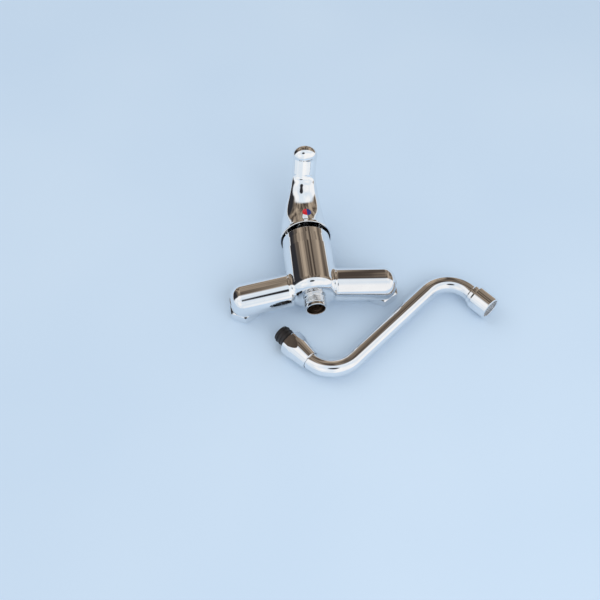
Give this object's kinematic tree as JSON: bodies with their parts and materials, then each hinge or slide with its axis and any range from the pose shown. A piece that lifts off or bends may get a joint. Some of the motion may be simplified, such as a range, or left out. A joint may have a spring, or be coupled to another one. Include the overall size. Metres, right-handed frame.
{
  "type": "wall-mounted single-lever sink mixer",
  "caption": "Chrome wall-mounted single-lever sink mixer with union-nut inlets, a lever hood over a ceramic-disc cartridge, and its S-shaped swivel spout taken off and laid beside it.",
  "frame": {"origin": "midway between the two inlet nuts, on the plane of their wall-side faces, which is also the surface the mixer lies on", "axes": "+X from the left inlet to the right one, +Y up on the wall along the cartridge column, +Z out of the wall, up as it lies"},
  "size_m": [0.283, 0.2468, 0.095],
  "materials": {
    "chrome_body": "polished chrome plate on brass",
    "chrome_lever": "polished chrome plate on zinc",
    "chrome_spout": "polished chrome-plated brass tube",
    "plated_thread": "thin nickel-chrome plate on turned thread",
    "raw_brass": "turned brass",
    "steel": "turned stainless steel",
    "white_plastic": "moulded acetal",
    "grey_plastic": "moulded acetal",
    "black_plastic": "moulded black plastic",
    "ceramic": "lapped alumina",
    "rubber": "moulded rubber",
    "indicator": "red and blue halves under clear gloss"
  },
  "bodies": {
    "fixture": {"mixer_body": "chrome_body", "spout_nipple": "plated_thread", "left_inlet_sleeve": "raw_brass", "right_inlet_sleeve": "raw_brass", "left_filter_washer": "rubber", "right_filter_washer": "rubber", "cartridge_base": "white_plastic", "base_seals": "rubber", "cartridge_housing": "white_plastic", "fixed_disc": "ceramic", "ring_nut": "raw_brass", "dome_ring": "black_plastic"},
    "turner": {"swivel_turret": "grey_plastic", "pivot_pin": "steel"},
    "disc": {"moving_disc": "ceramic", "disc_carrier": "grey_plastic"},
    "lever": {"lever_hood": "chrome_lever", "lever_stem": "steel", "set_screw": "steel", "indicator_plug": "indicator"},
    "left_nut": {"left_union_nut": "chrome_body"},
    "right_nut": {"right_union_nut": "chrome_body"},
    "spout": {"spout_tube": "chrome_spout", "spout_bush": "black_plastic", "spout_stop_ring": "white_plastic", "spout_collar": "chrome_spout", "aerator_housing": "chrome_spout", "aerator_insert": "grey_plastic", "aerator_washer": "rubber"},
    "spout_nut": {"spout_nut": "chrome_spout"}
  },
  "joints": [
    {"name": "lever_turn", "type": "hinge", "parent": "fixture", "child": "turner", "pos_m": [0, 0.0645, 0.029], "axis": [0, 1, 0], "range_deg": [-60.5, 39.5]},
    {"name": "lever_lift", "type": "hinge", "parent": "turner", "child": "lever", "pos_m": [0, 0.0645, 0.029], "axis": [-0.9833, 0, 0.1822], "range_deg": [-20.3, 4.7]},
    {"name": "disc_slide", "type": "slide", "parent": "turner", "child": "disc", "axis": [0.1822, 0, 0.9833], "range_m": [-0.0055, 0.0014]},
    {"name": "left_nut_spin", "type": "hinge", "parent": "fixture", "child": "left_nut", "pos_m": [-0.075, 0, 0], "axis": [0, 0, 1], "continuous": true},
    {"name": "right_nut_spin", "type": "hinge", "parent": "fixture", "child": "right_nut", "pos_m": [0.075, 0, 0], "axis": [0, 0, 1], "continuous": true},
    {"name": "spout_lift_off", "type": "slide", "parent": "fixture", "child": "spout", "axis": [0, 0, 1], "range_m": [0, 0.12]},
    {"name": "spout_nut_spin", "type": "hinge", "parent": "spout", "child": "spout_nut", "pos_m": [-0.0396, -0.041, 0.014], "axis": [0.585, -0.8111, 0], "continuous": true}
  ],
  "couplings": [
    {"joint": "disc_slide", "follows": "lever_lift", "m_per_rad": 0.0153}
  ]
}
